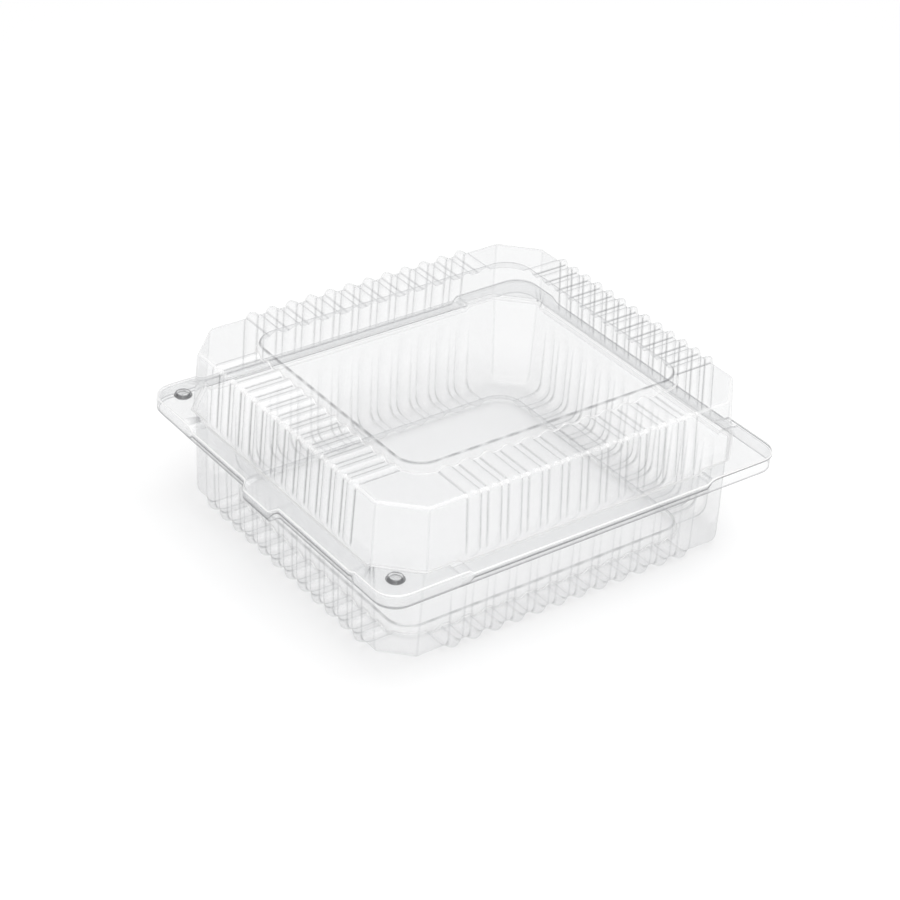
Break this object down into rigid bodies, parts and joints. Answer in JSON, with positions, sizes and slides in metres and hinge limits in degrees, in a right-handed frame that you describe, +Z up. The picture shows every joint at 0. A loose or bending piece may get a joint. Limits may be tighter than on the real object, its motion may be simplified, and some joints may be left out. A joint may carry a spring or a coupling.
{
  "type": "hinged takeaway container",
  "caption": "Clear rectangular hinged takeaway box with a ribbed lid and tray, raised top panel, thumb tab and snap buttons.",
  "frame": {"origin": "under the middle of the closed box, on the surface it stands on", "axes": "+Z up, +Y towards the hinge, -Y towards the thumb tab, +X to the right seen from the tab side"},
  "size_m": [0.1904, 0.2142, 0.0823],
  "materials": {
    "clear_film": "clear, glossy thermoformed film"
  },
  "bodies": {
    "tray": {"tray": "clear_film"},
    "lid": {"lid": "clear_film"}
  },
  "joints": [
    {"name": "lid_hinge", "type": "hinge", "parent": "tray", "child": "lid", "pos_m": [0, 0.1079, 0.045], "axis": [-1, 0, 0], "range_deg": [0, 180]}
  ]
}
